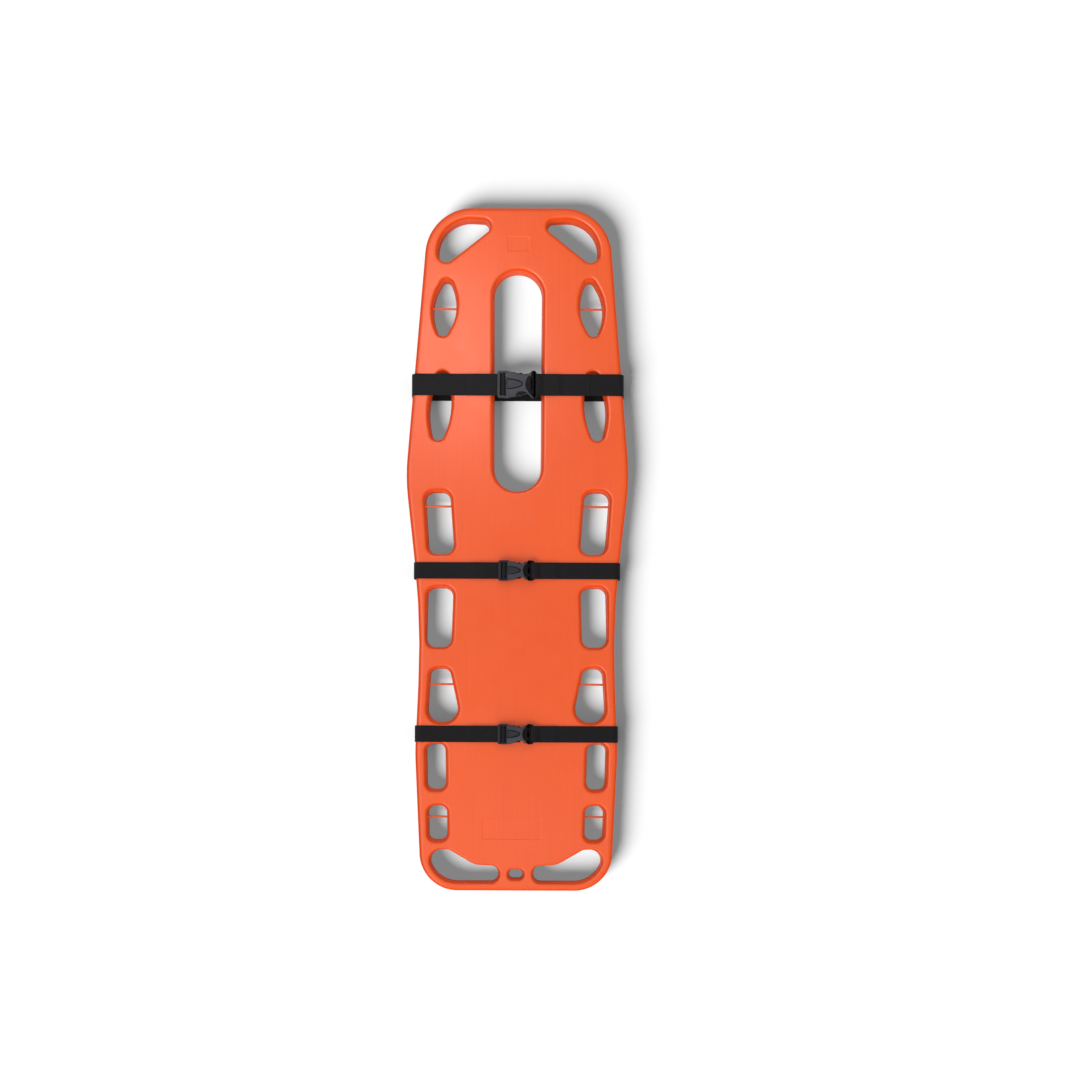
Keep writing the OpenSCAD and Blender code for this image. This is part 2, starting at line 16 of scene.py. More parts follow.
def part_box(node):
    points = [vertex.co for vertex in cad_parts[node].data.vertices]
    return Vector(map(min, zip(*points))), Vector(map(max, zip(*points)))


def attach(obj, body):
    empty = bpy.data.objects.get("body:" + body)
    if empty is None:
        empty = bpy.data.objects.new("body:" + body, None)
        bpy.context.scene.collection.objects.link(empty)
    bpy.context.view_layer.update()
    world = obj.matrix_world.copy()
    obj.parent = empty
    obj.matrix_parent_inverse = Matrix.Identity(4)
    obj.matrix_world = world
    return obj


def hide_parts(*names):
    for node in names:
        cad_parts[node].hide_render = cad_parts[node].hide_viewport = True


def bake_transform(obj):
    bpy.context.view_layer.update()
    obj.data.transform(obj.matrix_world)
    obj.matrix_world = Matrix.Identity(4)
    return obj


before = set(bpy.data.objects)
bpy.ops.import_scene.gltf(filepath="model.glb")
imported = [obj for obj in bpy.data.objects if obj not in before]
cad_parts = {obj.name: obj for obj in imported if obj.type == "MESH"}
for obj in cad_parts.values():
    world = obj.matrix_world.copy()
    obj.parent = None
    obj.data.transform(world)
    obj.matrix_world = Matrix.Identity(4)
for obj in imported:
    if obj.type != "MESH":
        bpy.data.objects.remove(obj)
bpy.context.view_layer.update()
MM = 0.001

# %% [markdown]
# The board's plan is a ring of straight sides with rounded corners, and so is each hand hold.
# One helper turns such corners into arcs, and another moves the whole outline in or out by a distance.
# Because an arc keeps its centre when it is moved, every ring has the same number of points,
# and rings at several heights can be joined into one smooth wall.

# %% Rounded outlines
def unit(v):
    return v / np.linalg.norm(v)


def arcs(corners):
    """Each corner (x, y, radius) becomes its centre, radius, first angle, turn and whether it bends
    outwards. The centre lies one radius from both sides, so the arc touches each of them."""
    out = []
    pts = [np.array(c[:2], float) for c in corners]
    for i, (p, c) in enumerate(zip(pts, corners)):
        d1 = unit(p - pts[i - 1])
        d2 = unit(pts[(i + 1) % len(pts)] - p)
        outward = d1[0] * d2[1] - d1[1] * d2[0] > 0
        turn = math.acos(min(1.0, float(d1 @ d2)))
        start = p - d1 * c[2] * math.tan(turn / 2)
        side = 1 if outward else -1
        centre = start + c[2] * side * np.array([-d1[1], d1[0]])
        first = math.atan2(*(start - centre)[::-1])
        out.append((centre, c[2], first, turn * side, outward))
    return out


def outline(corners, chord=5.0, step=14.0):
    """A closed outline as points and the direction that leads outwards at each of them. On an arc the
    direction turns with the point about the arc's centre, and a straight side keeps its own."""
    rows = []
    for centre, r, first, turn, outward in arcs(corners):
        n = max(2, math.ceil(abs(math.degrees(turn)) / chord))
        a = first + turn * np.linspace(0, 1, n + 1)
        way = np.stack([np.cos(a), np.sin(a)], 1)
        rows.append((centre + r * way, way if outward else -way))
    points, ways = [], []
    for i, (p, w) in enumerate(rows):
        a, b = p[-1], rows[(i + 1) % len(rows)][0][0]
        n = max(1, int(np.linalg.norm(b - a) / step))
        t = np.arange(1, n)[:, None] / n
        points += [p, a + (b - a) * t]
        ways += [w, np.repeat(w[-1:], n - 1, 0)]
    return np.concatenate(points), np.concatenate(ways)


def ring(corners, g=0.0, chord=5.0):
    """The outline moved outwards by g, one number or one for each point: point + g times its direction."""
    points, ways = outline(corners, chord)
    return points + np.reshape(g, (-1, 1)) * ways


def arc(cx, cy, r, a0, a1, n):
    """n + 1 points of a circle about (cx, cy), from angle a0 to a1 in degrees."""
    a = np.radians(np.linspace(a0, a1, n + 1))
    return np.stack([cx + r * np.cos(a), cy + r * np.sin(a)], 1)


square = [(0, 0, 10), (40, 0, 10), (40, 40, 10), (0, 40, 10)]
print("a square with 10 mm corners has", len(ring(square)), "points")

# %% [markdown]
# Meshes are put together from plain arrays. A wall is a grid of four-sided faces between rings,
# and a flat sheet with holes is filled by a constrained triangulation, which keeps every ring's edges.

# %% Mesh helpers
def wall_faces(rings, n, start=0, closed=True):
    """Faces between neighbouring rings of n points: point i of one ring meets point i and i + 1
    of the next."""
    j, i = np.meshgrid(np.arange(rings - 1), np.arange(n if closed else n - 1), indexing="ij")
    k = (i + 1) % n
    quads = np.stack([j * n + i, j * n + k, (j + 1) * n + k, (j + 1) * n + i], -1)
    return (quads.reshape(-1, 4) + start).tolist()


def carried(corners, section, chord=5.0, widths=None):
    """A wall round an outline: for each section point (g, z), the outline moved by g at height z.
    widths, one row of distances for each section point, takes the place of g where the wall narrows."""
    rows = []
    for k, (g, z) in enumerate(section):
        line = ring(corners, g if widths is None else widths[k], chord)
        rows.append(np.column_stack([line, np.full(len(line), z)]))
    return np.concatenate(rows), wall_faces(len(rows), len(rows[0]))


def inside(points, loop):
    """Whether each point lies inside a loop: a line from it crosses the loop's edges an odd number
    of times."""
    a, b = loop, np.roll(loop, -1, axis=0)
    x, y = points[:, None, 0], points[:, None, 1]
    spans = (a[:, 1] > y) != (b[:, 1] > y)
    rise = np.where(b[:, 1] == a[:, 1], 1, b[:, 1] - a[:, 1])
    return (spans & (x < a[:, 0] + (b[:, 0] - a[:, 0]) * (y - a[:, 1]) / rise)).sum(1) % 2 == 1


def sheet(outer, holes, z, up=True):
    """A flat sheet at height z, bounded by a ring and pierced by others: all of it is filled with
    triangles, and those whose middle lies in a hole are dropped."""
    loops = [outer] + holes
    points = np.concatenate(loops)
    edges = []
    start = 0
    for loop in loops:
        n = len(loop)
        edges += [(start + i, start + (i + 1) % n) for i in range(n)]
        start += n
    verts, _, tris, *_ = delaunay_2d_cdt([Vector(p) for p in points], edges, [], 1, 1e-5)
    flat, tris = np.array([list(p) for p in verts]), np.array(tris)
    middle = flat[tris].mean(1)
    keep = inside(middle, outer)
    for hole in holes:
        keep &= ~inside(middle, hole)
    faces = tris[keep] if up else tris[keep][:, ::-1]
    return np.column_stack([flat, np.full(len(flat), z)]), faces.tolist()


def joined(parts):
    """Several (points, faces) lists as one."""
    verts, faces, start = [], [], 0
    for v, f in parts:
        verts.append(np.asarray(v, float))
        faces += [[i + start for i in face] for face in f]
        start += len(v)
    return np.concatenate(verts), faces


def new_object(name, data):
    """An object that shows a mesh, a lamp or a camera, put into the scene."""
    thing = bpy.data.objects.new(name, data)
    bpy.context.scene.collection.objects.link(thing)
    return thing


def make_piece(name, parts, material, body, replaces=(), bevel=0.0, merge=0.01):
    """One object from (points, faces) lists in millimetres: merged, shaded, finished and tied to
    its body. Walls of four-sided faces are shaded smooth, and the triangles of level sheets flat."""
    verts, faces = joined(parts)
    mesh = bpy.data.meshes.new(name)
    mesh.from_pydata((verts * MM).tolist(), [], faces)
    piece = new_object(name, mesh)
    if merge:
        bm = bmesh.new()
        bm.from_mesh(mesh)
        bmesh.ops.remove_doubles(bm, verts=bm.verts, dist=merge * MM)
        bm.to_mesh(mesh)
        bm.free()
    corners = np.zeros(len(mesh.polygons), np.int32)
    mesh.polygons.foreach_get("loop_total", corners)
    mesh.polygons.foreach_set("use_smooth", corners != 3)
    mesh.materials.append(material)
    if bevel:
        soften = piece.modifiers.new("soft edges", "BEVEL")
        soften.width = bevel * MM
        soften.segments = 3
        soften.limit_method = "ANGLE"
        soften.angle_limit = math.radians(32)
        soften.use_clamp_overlap = True
        even = piece.modifiers.new("even shading", "WEIGHTED_NORMAL")
        even.keep_sharp = True
    if replaces:
        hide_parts(*replaces)
    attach(piece, body)
    print(name, len(mesh.vertices), "points", len(mesh.polygons), "faces")
    return piece


# %% [markdown]
# Each finish is procedural. Moulded plastic has a fine grain, a slow waviness from cooling and
# patches that are a little more polished. Webbing gets its weave from its own UV map, in millimetres.

# %% Node helpers
def new_material(name):
    material = bpy.data.materials.new(name)
    material.use_nodes = True
    nodes, links = material.node_tree.nodes, material.node_tree.links
    return material, nodes, links, nodes["Principled BSDF"]


def noise(nodes, links, vector, scale, detail=3.0, roughness=0.5):
    node = nodes.new("ShaderNodeTexNoise")
    node.inputs["Scale"].default_value = scale
    node.inputs["Detail"].default_value = detail
    node.inputs["Roughness"].default_value = roughness
    links.new(vector, node.inputs["Vector"])
    return node.outputs["Fac"]


def remap(nodes, links, value, low, high, out_low, out_high):
    node = nodes.new("ShaderNodeMapRange")
    for key, number in (("From Min", low), ("From Max", high), ("To Min", out_low), ("To Max", out_high)):
        node.inputs[key].default_value = number
    links.new(value, node.inputs["Value"])
    return node.outputs["Result"]


def calc(nodes, links, operation, a, b=None, c=None):
    node = nodes.new("ShaderNodeMath")
    node.operation = operation
    for socket, value in zip(node.inputs, (a, b, c)):
        if value is None:
            continue
        if isinstance(value, (int, float)):
            socket.default_value = value
        else:
            links.new(value, socket)
    return node.outputs[0]


def blend_colours(nodes, links, factor, a, b):
    node = nodes.new("ShaderNodeMix")
    node.data_type = "RGBA"
    for socket, value in ((node.inputs[6], a), (node.inputs[7], b)):
        if isinstance(value, tuple):
            socket.default_value = (*value, 1)
        else:
            links.new(value, socket)
    links.new(factor, node.inputs[0])
    return node.outputs[2]


def bump(nodes, links, height, distance, strength=1.0, below=None):
    node = nodes.new("ShaderNodeBump")
    node.inputs["Strength"].default_value = strength
    node.inputs["Distance"].default_value = distance
    links.new(height, node.inputs["Height"])
    if below is not None:
        links.new(below, node.inputs["Normal"])
    return node.outputs["Normal"]


# %% Moulded plastic
ORANGE = (0.845, 0.092, 0.0065)
ORANGE_DEEP = (0.800, 0.084, 0.0055)
# Painted light on the board: WALL_PAINTED_BOUNCE_TONE is a more saturated orange that stands in for bounce
# light on the openings' walls, and LIP_PAINTED_SHADE_TONE is painted shade in the lips' bend; the two
# height ranges below place them.
WALL_PAINTED_BOUNCE_TONE = (0.93, 0.078, 0.004)
LIP_PAINTED_SHADE_TONE = (0.70, 0.052, 0.003)
WALL_TO_LIP_Z = (0.041, 0.047)
LIP_TO_TOP_Z = (0.0475, 0.0503)
GRAIN_DEPTH = 0.00003
WAVE_DEPTH = 0.0004


def moulded(name, colour, second, roughness, grain=900.0, streaks=0.0, wall=None):
    """Colour drifts between two close tones, roughness varies in patches, and two bumps add grain
    and waviness. With wall, everything below the lips takes that colour, a more saturated orange
    painted as bounce light, and a duller gloss, and the lips' bend takes a darker painted shade.
    With streaks, fine lines that deep run along the board."""
    material, nodes, links, shader = new_material(name)
    place = nodes.new("ShaderNodeTexCoord").outputs["Object"]
    drift = remap(nodes, links, noise(nodes, links, place, 3.0, 4.0), 0.3, 0.7, 0.0, 1.0)
    tone = blend_colours(nodes, links, drift, colour, second)
    if wall:
        split = nodes.new("ShaderNodeSeparateXYZ")
        links.new(place, split.inputs[0])
        rise = remap(nodes, links, split.outputs["Z"], *LIP_TO_TOP_Z, 0.0, 1.0)
        bend = remap(nodes, links, split.outputs["Z"], *WALL_TO_LIP_Z, 0.0, 1.0)
        # Painted bounce light and painted shade: by height, the walls take the saturated tone and the lips'
        # bend the darker one.
        deep = blend_colours(nodes, links, bend, wall, LIP_PAINTED_SHADE_TONE)
        tone = blend_colours(nodes, links, rise, deep, tone)
        links.new(remap(nodes, links, rise, 0.0, 1.0, 0.1, 0.5), shader.inputs["Specular IOR Level"])
    if streaks:
        mapping = nodes.new("ShaderNodeMapping")
        mapping.inputs["Scale"].default_value = (1.0, 0.02, 1.0)
        links.new(place, mapping.inputs["Vector"])
        lines = noise(nodes, links, mapping.outputs["Vector"], 200.0, 3.0, 0.7)
        darker = tuple(0.86 * c for c in colour)
        share = remap(nodes, links, lines, 0.45, 0.8, 0.0, 0.5)
        tone = blend_colours(nodes, links, share, tone, darker)
    links.new(tone, shader.inputs["Base Color"])
    patch = noise(nodes, links, place, 22.0, 4.0, 0.6)
    dull = remap(nodes, links, patch, 0.3, 0.7, roughness - 0.05, roughness + 0.06)
    links.new(dull, shader.inputs["Roughness"])
    wave = bump(nodes, links, noise(nodes, links, place, 6.0, 1.0), WAVE_DEPTH, 0.6)
    normal = bump(nodes, links, noise(nodes, links, place, grain, 2.0), GRAIN_DEPTH, 0.5, wave)
    if streaks:
        normal = bump(nodes, links, lines, streaks, 0.5, normal)
    links.new(normal, shader.inputs["Normal"])
    return material


FINE_GRAIN = 1400.0
shell_finish = moulded("orange moulded shell", ORANGE, ORANGE_DEEP, 0.42, streaks=0.00007, wall=WALL_PAINTED_BOUNCE_TONE)
pin_finish = moulded("orange pin", (0.80, 0.095, 0.02), (0.74, 0.085, 0.018), 0.35)
plug_port_finish = moulded("orange port plug", (0.74, 0.085, 0.02), (0.68, 0.075, 0.018), 0.5)
lid_finish = moulded("dark grey lid", (0.050, 0.048, 0.060), (0.040, 0.038, 0.047), 0.34, FINE_GRAIN)
# Painted shade for the thumb hollow: a near-black band on its sloping rim and a darker grey on its floor.
hollow_rim_painted_shade_finish = moulded("dark grey hollow rim", (0.007, 0.0065, 0.009), (0.006, 0.0055, 0.008), 0.5,
                     FINE_GRAIN)
hollow_painted_shade_finish = moulded("dark grey hollow", (0.030, 0.029, 0.036), (0.025, 0.024, 0.030), 0.3, FINE_GRAIN)
# Painted shade: the receptacle's frame is the same plastic as its lid, painted darker so that it reads as
# shade below and beside the lid.
receptacle_painted_shade_finish = moulded("dark grey plastic", (0.026, 0.025, 0.030), (0.021, 0.020, 0.024), 0.36,
                            FINE_GRAIN)
plug_finish = moulded("black plastic", (0.0062, 0.0054, 0.0062), (0.0052, 0.0046, 0.0053), 0.34,
                      FINE_GRAIN)
for finish in (lid_finish, hollow_rim_painted_shade_finish, hollow_painted_shade_finish, receptacle_painted_shade_finish, plug_finish):
    gloss_level = 0.1 if finish in (plug_finish, hollow_rim_painted_shade_finish) else 0.2
    finish.node_tree.nodes["Principled BSDF"].inputs["Specular IOR Level"].default_value = gloss_level


# %% Foam
def foam():
    """Closed cells: a cell texture dents the surface, and the cell walls are a little lighter."""
    material, nodes, links, shader = new_material("rigid foam")
    place = nodes.new("ShaderNodeTexCoord").outputs["Object"]
    cells = nodes.new("ShaderNodeTexVoronoi")
    cells.inputs["Scale"].default_value = 450.0
    links.new(place, cells.inputs["Vector"])
    tone = blend_colours(nodes, links, cells.outputs["Distance"], (0.86, 0.80, 0.58), (0.78, 0.71, 0.48))
    links.new(tone, shader.inputs["Base Color"])
    shader.inputs["Roughness"].default_value = 0.9
    links.new(bump(nodes, links, cells.outputs["Distance"], 0.0006, 0.7), shader.inputs["Normal"])
    return material


foam_finish = foam()


# %% [markdown]
# Black polyester webbing is woven flat: ribs run along it, and on each rib the threads slope one way
# and then the other, so it shows a fine herringbone. The UV map is in millimetres, so the rib pitch
# is real.

# %% Webbing
RIB_PITCH = 1.55
THREAD_PITCH = 1.0
# WEB_VALLEY_PAINTED_SHADE is painted shade in the grooves between the threads, darker than the crests.
WEB_VALLEY_PAINTED_SHADE = (0.0030, 0.0024, 0.0030)
WEB_CREST = (0.0095, 0.0075, 0.0095)


def webbing():
    """Height is a rounded rib across the width times a sloping thread along it; the slope's sign
    changes rib by rib. The valleys between the threads are painted darker than the crests, as shade."""
    material, nodes, links, shader = new_material("black webbing")

    def half_waves(phase):
        """The size of sin(pi times phase): one rounded crest for each whole step of the phase."""
        wave = calc(nodes, links, "SINE", calc(nodes, links, "MULTIPLY", phase, math.pi))
        return calc(nodes, links, "ABSOLUTE", wave)

    uv = nodes.new("ShaderNodeUVMap")
    uv.uv_map = "weave"
    split = nodes.new("ShaderNodeSeparateXYZ")
    links.new(uv.outputs["UV"], split.inputs[0])
    across, along = split.outputs[0], split.outputs[1]
    rib_phase = calc(nodes, links, "MULTIPLY", across, 1.0 / RIB_PITCH)
    rib = half_waves(rib_phase)
    zigzag = calc(nodes, links, "PINGPONG", rib_phase, 1.0)
    slope = calc(nodes, links, "ADD", calc(nodes, links, "MULTIPLY", along, 1.0 / THREAD_PITCH), zigzag)
    thread = calc(nodes, links, "MULTIPLY", half_waves(slope), 0.5)
    height = calc(nodes, links, "MULTIPLY", rib, calc(nodes, links, "ADD", thread, 0.5))
    links.new(blend_colours(nodes, links, height, WEB_VALLEY_PAINTED_SHADE, WEB_CREST), shader.inputs["Base Color"])
    shader.inputs["Roughness"].default_value = 0.72
    shader.inputs["Specular IOR Level"].default_value = 0.2
    shader.inputs["Sheen Weight"].default_value = 0.04
    shader.inputs["Sheen Roughness"].default_value = 0.4
    place = nodes.new("ShaderNodeTexCoord").outputs["Object"]
    waves = bump(nodes, links, noise(nodes, links, place, 28.0, 2.0), 0.0006, 0.5)
    links.new(bump(nodes, links, height, 0.00035, 0.9, waves), shader.inputs["Normal"])
    return material


web_finish = webbing()
print("materials:", [m.name for m in bpy.data.materials])

# %% [markdown]
# The board. These are the frame's own driving sizes, in millimetres: the corners of its outline,
# the rounding of its edges and the place of every opening.

# %% Board sizes
BOARD_L = 1578
BOARD_T = 45
RUNNER_H = 6
EDGE_R = 11
UNDER_EDGE_R = 8
LIP_R = 10
FOOT_LIP_R = 7
LIP_STOP = 14
UNDER_LIP_R = 3.5
DRAFT = 3
SEAT_GAP = 0.3
HEAD_Y = BOARD_L / 2
FOOT_Y = -BOARD_L / 2
Z_UNDER = RUNNER_H
Z_TOP = RUNNER_H + BOARD_T
SIDE_POINTS = [(219, FOOT_Y), (234, FOOT_Y + 319), (221.2, -170), (258.5, HEAD_Y - 623), (207, HEAD_Y)]
BEND_REACH = [19.1, 140, 45.7]
FOOT_CORNER_R = 88
HEAD_CORNER_R = 110


def bend_radius(i):
    """Radius of the bend at side point i: reach / tan(turn / 2), with the turn between its two sides."""
    a, p, b = [np.array(SIDE_POINTS[k], float) for k in (i - 1, i, i + 1)]
    turn = math.acos(float(unit(p - a) @ unit(b - p)))
    return BEND_REACH[i - 1] / math.tan(turn / 2)


RADII = [FOOT_CORNER_R, bend_radius(1), bend_radius(2), bend_radius(3), HEAD_CORNER_R]
SIDE_LINE = [(x, y, r) for (x, y), r in zip(SIDE_POINTS, RADII)]
OUTLINE = SIDE_LINE + [(-x, y, r) for x, y, r in SIDE_LINE[::-1]]


def from_side(corners, origin=0.0, sign=1):
    """Corners given as distance in from the side line and place along the board, as x and y."""
    ys = [origin + sign * y for _, y, _ in corners]
    half = np.interp(ys, [p[1] for p in SIDE_LINE], [p[0] for p in SIDE_LINE])
    return [(float(h - d), y, r) for h, y, (d, _, r) in zip(half, ys, corners)]


HEAD_HANDLE = from_side([(163, 32, 13), (35, 141, 17), (25, 25, 74)], HEAD_Y, -1)
SHOULDER_HOLD = from_side([(94, 231, 110), (56.5, 308, 11), (19, 231, 110), (56.5, 154, 11)], HEAD_Y, -1)
UPPER_ARM_HOLD = from_side([(101, 458, 190), (66, 563, 13), (31, 458, 190), (66, 362, 10)], HEAD_Y, -1)
ELBOW_HOLD = from_side([(93, -9, 20), (36, -9, 18), (42, 133, 20), (98, 133, 18)])
HIP_HOLD = from_side([(71, -225, 20), (15, -225, 20), (25, -89, 19), (82, -89, 19)])
THIGH_HOLD = from_side([(102, 389, 33), (25, 389, 30), (28, 513, 17), (70, 513, 17)], FOOT_Y)
KNEE_HOLD = from_side([(67, 234, 16), (25, 234, 16), (26, 338, 15), (68, 338, 15)], FOOT_Y)
SHIN_HOLD = from_side([(65, 117, 15), (24, 117, 15), (26, 195, 16), (67, 195, 16)], FOOT_Y)
FOOT_HANDLE = from_side([(179, 21, 17), (44, 21, 66), (13, 93, 23.5), (66, 93, 25), (126, 57, 50),
                         (181, 55, 17)], FOOT_Y)
HOLDS = [HEAD_HANDLE, SHOULDER_HOLD, UPPER_ARM_HOLD, ELBOW_HOLD, HIP_HOLD, THIGH_HOLD, KNEE_HOLD,
         SHIN_HOLD]
SLOT = [(-53.5, HEAD_Y - 652, 52.5), (53.5, HEAD_Y - 652, 52.5),
        (55, HEAD_Y - 148, 54), (-55, HEAD_Y - 148, 54)]
FOOT_HOLE = [(-15.5, FOOT_Y + 28.5, 9), (15.5, FOOT_Y + 28.5, 9),
             (15.5, FOOT_Y + 47.5, 9), (-15.5, FOOT_Y + 47.5, 9)]
print("board", BOARD_L, "by", 2 * max(p[0] for p in SIDE_LINE), "mm at its side lines")

# %% [markdown]
# A blow moulded board is one skin that runs over the edge and down through every opening.
# Each edge is a section carried round an outline. The sections start and end with a narrow flat strip,
# so that the big flat sheets between them are shaded evenly right up to the rounding.

# %% Board sections
FLAT = 0.6
LEAST_LIP = 0.2


def edge_section():
    """From the underside out and up to the top: flat strip, lower rounding, side, upper rounding,
    flat strip."""
    low = arc(-UNDER_EDGE_R, Z_UNDER + UNDER_EDGE_R, UNDER_EDGE_R, 270, 360, 8)
    high = arc(-EDGE_R, Z_TOP - EDGE_R, EDGE_R, 0, 90, 12)
    return np.concatenate([[(-UNDER_EDGE_R - FLAT, Z_UNDER)], low, high, [(-EDGE_R - FLAT, Z_TOP)]])


def opening_section(lip):
    """From the top in and down to the underside: flat strip, lip, drafted wall, lower rounding, flat strip.
    The lip's arc stops short of level, which leaves the fine line seen round each hold."""
    centre_z = Z_TOP - lip * math.cos(math.radians(LIP_STOP))
    high = arc(DRAFT + lip, centre_z, lip, 90 + LIP_STOP, 180, 14)
    low = arc(UNDER_LIP_R, Z_UNDER + UNDER_LIP_R, UNDER_LIP_R, 180, 270, 6)
    return np.concatenate([[(high[0][0] + FLAT, Z_TOP)], high, low, [(UNDER_LIP_R + FLAT, Z_UNDER)]])


def narrowed(corners, section):
    """Widths of an opening's lip at each outline point. Where the board's edge is near, the lip has
    less room: distance to the board's outline, less the edge's own rounding. There each width
    beyond the throat shrinks in ratio."""
    points, _ = outline(corners)
    rim = ring(OUTLINE, 0.0, 3.0)
    a, b = rim, np.roll(rim, -1, axis=0)
    t = ((points[:, None] - a) * (b - a)).sum(-1) / np.maximum(((b - a) ** 2).sum(-1), 1e-9)
    foot = a + np.clip(t, 0, 1)[..., None] * (b - a)
    room = np.linalg.norm(points[:, None] - foot, axis=-1).min(1) - EDGE_R - 2 * FLAT
    widest = section[0][0]
    ratio = np.clip((room - DRAFT) / (widest - DRAFT), LEAST_LIP, 1.0)
    return [DRAFT + (g - DRAFT) * ratio if z > Z_TOP - LIP_R else np.full(len(ratio), g)
            for g, z in section]


def both_sides(corners):
    return [corners, [(-x, y, r) for x, y, r in corners[::-1]]]


openings = [(SLOT, LIP_R), (FOOT_HOLE, FOOT_LIP_R)]
openings += [(c, LIP_R) for hold in HOLDS for c in both_sides(hold)]
openings += [(c, FOOT_LIP_R) for c in both_sides(FOOT_HANDLE)]
print(len(openings), "openings")

# %% [markdown]
# Two shallow panels are pressed into the top: a small one at the head end and a wider one near the feet.
# They are bare. Below, two ports for the foam are closed by welded discs, and eight runners stand
# on the floor.

# %% Panels, ports and runners
def box_corners(x0, x1, y0, y1, r):
    return [(x0, y0, r), (x1, y0, r), (x1, y1, r), (x0, y1, r)]


HEAD_PANEL = box_corners(-26, 25, 688, 722, 4)
FOOT_PANEL = box_corners(-78, 58, -670, -620, 4)
PANEL_DEPTH = 0.5
PORTS = [(0, -150), (0, FOOT_Y + 250)]
PORT_R = 12
RUNNER_X = 99
RUNNER_W = 34
STRAP_Y = [HEAD_Y - 410, -50, FOOT_Y + 362]
STRAP_W = [50, 38, 38]
RUNNER_CLEAR = 16


def panel(corners):
    """A shallow pressed panel: a flat strip, a rim that slopes in, and a flat floor."""
    low = Z_TOP - PANEL_DEPTH
    section = [(1.0, Z_TOP), (0.3, Z_TOP), (-0.3, low), (-1.0, low)]
    return [carried(corners, section), sheet(ring(corners, -1.0), [], low)]


def runner(y0, y1, x):
    """A drafted bar with round ends and a rounded foot."""
    half = RUNNER_W / 2
    section = np.concatenate([[(-6.0, 0.0)], arc(-4.5, 2.0, 2.0, 270, 350, 4), [(0.0, RUNNER_H + 0.5)]])
    corners = box_corners(x - half, x + half, y0, y1, half - 0.5)
    wall = carried(corners, section, 10)
    return [wall, sheet(ring(corners, -6.0, 10), [], 0.0, up=False)]


gaps = [(y - w / 2 - RUNNER_CLEAR, y + w / 2 + RUNNER_CLEAR) for y, w in zip(STRAP_Y, STRAP_W)]
spans = [(FOOT_Y + 140, gaps[2][0]), (gaps[2][1], gaps[1][0]),
         (gaps[1][1], gaps[0][0]), (gaps[0][1], HEAD_Y - 150)]
print("runner spans:", [tuple(round(v) for v in s) for s in spans])

# %% The board's surface
def port_corners(x, y):
    r = PORT_R - 0.01
    return box_corners(x - PORT_R, x + PORT_R, y - PORT_R, y + PORT_R, r)


parts = [carried(OUTLINE, edge_section(), 3.0)]
top_rings = [ring(HEAD_PANEL, 1.0), ring(FOOT_PANEL, 1.0)]
for corners, lip in openings:
    section = opening_section(lip)
    widths = narrowed(corners, section)
    parts.append(carried(corners, section, widths=widths))
    top_rings.append(ring(corners, widths[0]))
parts.append(sheet(ring(OUTLINE, -EDGE_R - FLAT, 3.0), top_rings, Z_TOP))
parts += panel(HEAD_PANEL) + panel(FOOT_PANEL)
under_rings = [ring(corners, UNDER_LIP_R + FLAT) for corners, lip in openings]
under_rings += [ring(port_corners(x, y)) for x, y in PORTS]
parts.append(sheet(ring(OUTLINE, -UNDER_EDGE_R - FLAT, 3.0), under_rings, Z_UNDER, up=False))
for x, y in PORTS:
    parts.append(carried(port_corners(x, y), [(0, Z_UNDER), (0, Z_UNDER + 4)]))
for y0, y1 in spans:
    for x in (-RUNNER_X, RUNNER_X):
        parts += runner(y0, y1, x)
board = make_piece("board_skin", parts, shell_finish, "board", ["board_shell"])

# %% [markdown]
# The straps. Flat webbing is a ribbon: a route in the plane across the board, given a width and a
# thickness. It starts as a loose tail under the buckle, folds over the middle bar, goes round the board
# and ends at a sewn loop round the plug's bar.

# %% Buckle and strap sizes
WEB_T = 1.8
TAIL_L = 70
TAB_L = 46
Z_WEB = Z_TOP + SEAT_GAP
Z_WEB2 = Z_WEB + WEB_T + SEAT_GAP
Z_BAR = Z_WEB + WEB_T + 0.5
BAR_T = 4
Z_OUTER_BAR = Z_WEB2 + WEB_T + 0.4
Z_RAIL = Z_OUTER_BAR + BAR_T + 0.4
Z_ARM = Z_TOP + 3.4
ARM_T = 5.6
SLIDE_GAP = 0.4
BUCKLE_X = -2
OUTER_BAR = 5.5
MID_BAR = 6.4
BAR_SLOT = 4.6
PLUG_BAR = 5
PLUG_LEN = 24.2
MOUTH_GAP = 0.8
SPLIT_X = 168
NAMES = ["chest", "hip", "leg"]
BUCKLE_L = [90, 82, 82]
BUCKLE_W = [62, 47, 47]
WEB_SWAY = [5, 0, 0]
NOSE = [20, 12, 12]
NECK = [(23, 17), (15.5, 14.5), (15.5, 14.5)]


